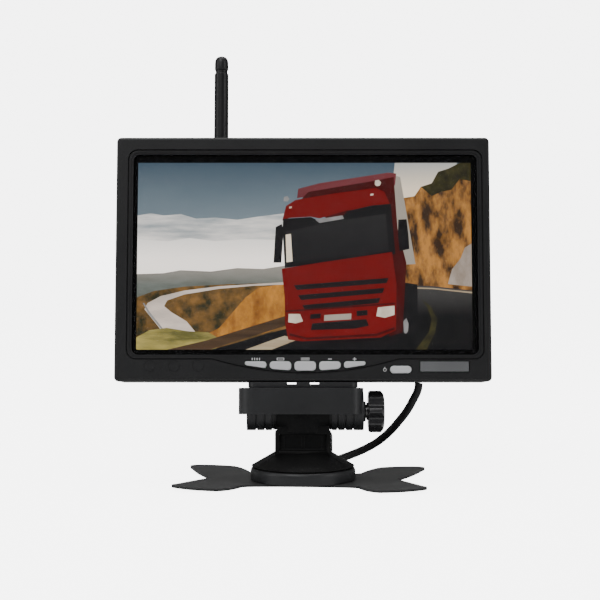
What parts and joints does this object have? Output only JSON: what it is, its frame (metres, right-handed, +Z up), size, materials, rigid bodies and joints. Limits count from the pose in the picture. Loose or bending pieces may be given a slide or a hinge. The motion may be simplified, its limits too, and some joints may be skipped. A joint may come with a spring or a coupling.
{
  "type": "reversing camera monitor",
  "caption": "Slim widescreen reversing monitor with menu keys and folding antenna on a tilting, swivelling pedestal with a lobed adhesive foot and a power lead.",
  "frame": {"origin": "middle of the adhesive foot's underside", "axes": "+Z up from the foot, the screen faces -Y, +X to the viewer's right"},
  "size_m": [0.172, 0.1843, 0.2013],
  "materials": {
    "pedestal_plastic": "Black moulded nylon, fine spark texture, satin",
    "case_plastic": "Black ABS, very fine matt texture",
    "foot_plate": "Flexible black polymer plate, satin",
    "adhesive_pad": "Dark acrylic foam mounting pad",
    "knob_plastic": "Black moulded knob, semi gloss",
    "key_plastic": "Silver painted key caps, satin",
    "screen_glass": "Smooth cover glass over the lit picture",
    "display_module": "Dark display module",
    "infrared_lens": "Smoked translucent acrylic",
    "steel": "Zinc plated steel",
    "brass": "Gold coloured plated connector brass",
    "circuit_board": "Green solder resist over glass fibre board",
    "component_black": "Black moulded electronic parts",
    "antenna_rubber": "Black flexible antenna sleeve, satin",
    "lead_sheath": "Black PVC lead sheath, satin",
    "tie_fabric": "Black hook and loop band"
  },
  "bodies": {
    "foot": {"foot_pad": "adhesive_pad", "foot_plate": "foot_plate", "base_disc": "pedestal_plastic", "foot_rivet_1": "steel", "foot_rivet_2": "steel", "foot_rivet_3": "steel", "power_lead": "lead_sheath", "lead_hank": "lead_sheath", "lead_tie": "tie_fabric", "plug_body": "lead_sheath", "plug_collar": "steel"},
    "neck": {"neck": "pedestal_plastic", "swivel_screw": "steel", "swivel_washer": "steel"},
    "head": {"tilt_head": "pedestal_plastic", "friction_washer_left": "component_black", "friction_washer_right": "component_black", "clamp_nut": "steel", "clamp_washer": "steel", "mount_shoe": "pedestal_plastic", "mount_backing_plate": "steel", "mount_screw_left": "steel", "mount_screw_right": "steel", "front_bezel": "case_plastic", "rear_cover": "case_plastic", "case_screw_upper_left": "steel", "case_screw_upper_right": "steel", "case_screw_lower_left": "steel", "case_screw_lower_right": "steel", "screen_glass": "screen_glass", "display_panel": "display_module", "panel_tray": "steel", "main_board": "circuit_board", "receiver_module": "steel", "speaker": "component_black", "key_switch_1": "component_black", "key_switch_2": "component_black", "key_switch_3": "component_black", "key_switch_4": "component_black", "key_switch_5": "component_black", "power_switch": "component_black", "infrared_window": "infrared_lens", "infrared_receiver": "component_black", "key_board": "circuit_board", "antenna_jack": "brass", "antenna_jack_nut": "brass", "lead_grommet": "lead_sheath"},
    "knob": {"clamp_knob": "knob_plastic", "clamp_bolt": "steel"},
    "antenna_base": {"antenna_knuckle": "antenna_rubber", "antenna_pin": "steel"},
    "antenna_whip": {"antenna_rod": "antenna_rubber", "antenna_cap": "antenna_rubber"},
    "menu_key_1": {"menu_key_1": "key_plastic"},
    "menu_key_2": {"menu_key_2": "key_plastic"},
    "menu_key_3": {"menu_key_3": "key_plastic"},
    "menu_key_4": {"menu_key_4": "key_plastic"},
    "menu_key_5": {"menu_key_5": "key_plastic"},
    "power_key": {"power_key": "key_plastic"}
  },
  "joints": [
    {"name": "base_swivel", "type": "hinge", "parent": "foot", "child": "neck", "pos_m": [0, 0, 0.0071], "axis": [0, 0, 1], "range_deg": [-45, 45], "deforming": ["power_lead"]},
    {"name": "tilt_hinge", "type": "hinge", "parent": "neck", "child": "head", "pos_m": [0, 0, 0.0322], "axis": [-1, 0, 0], "range_deg": [-15, 35], "deforming": ["power_lead"]},
    {"name": "clamp_knob_turn", "type": "hinge", "parent": "head", "child": "knob", "pos_m": [0.03, 0, 0.0322], "axis": [1, 0, 0], "range_deg": [0, 360]},
    {"name": "antenna_swivel", "type": "hinge", "parent": "head", "child": "antenna_base", "pos_m": [-0.0398, 0.02877, 0.11464], "axis": [0, 0.9945, -0.1045], "range_deg": [-90, 90]},
    {"name": "antenna_fold", "type": "hinge", "parent": "antenna_base", "child": "antenna_whip", "pos_m": [-0.0398, 0.03574, 0.11391], "axis": [-1, 0, 0], "range_deg": [0, 90]},
    {"name": "menu_key_1_press", "type": "slide", "parent": "head", "child": "menu_key_1", "axis": [0, 0.9945, -0.1045], "range_m": [0, 0.0007], "stiffness_N_per_m": 900, "springref_m": -0.0003},
    {"name": "menu_key_2_press", "type": "slide", "parent": "head", "child": "menu_key_2", "axis": [0, 0.9945, -0.1045], "range_m": [0, 0.0007], "stiffness_N_per_m": 900, "springref_m": -0.0003},
    {"name": "menu_key_3_press", "type": "slide", "parent": "head", "child": "menu_key_3", "axis": [0, 0.9945, -0.1045], "range_m": [0, 0.0007], "stiffness_N_per_m": 900, "springref_m": -0.0003},
    {"name": "menu_key_4_press", "type": "slide", "parent": "head", "child": "menu_key_4", "axis": [0, 0.9945, -0.1045], "range_m": [0, 0.0007], "stiffness_N_per_m": 900, "springref_m": -0.0003},
    {"name": "menu_key_5_press", "type": "slide", "parent": "head", "child": "menu_key_5", "axis": [0, 0.9945, -0.1045], "range_m": [0, 0.0007], "stiffness_N_per_m": 900, "springref_m": -0.0003},
    {"name": "power_key_press", "type": "slide", "parent": "head", "child": "power_key", "axis": [0, 0.9945, -0.1045], "range_m": [0, 0.0007], "stiffness_N_per_m": 900, "springref_m": -0.0003}
  ]
}
